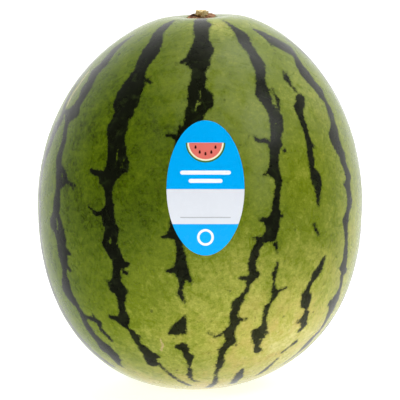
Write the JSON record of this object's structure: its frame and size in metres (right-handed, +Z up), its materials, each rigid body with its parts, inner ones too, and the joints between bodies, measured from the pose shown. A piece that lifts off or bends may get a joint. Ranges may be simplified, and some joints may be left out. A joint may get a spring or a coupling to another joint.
{
  "type": "watermelon",
  "caption": "Whole striped watermelon standing on the flat spot at its blossom end, with a cut stem stub on top and an oval sticker on its front.",
  "frame": {"origin": "on the ground, below the middle of the fruit", "axes": "+Z up towards the stem end, -Y out of the front where the sticker is, +X to the right seen from the front"},
  "size_m": [0.2088, 0.2092, 0.2427],
  "materials": {
    "rind": "waxy skin, dark jagged stripes on mottled green, satin",
    "dried_stem": "dried and corky, matte",
    "printed_paper": "coated printed paper, soft gloss"
  },
  "bodies": {
    "root": {"melon": "rind", "stem_stub": "dried_stem", "label": "printed_paper"}
  },
  "joints": []
}
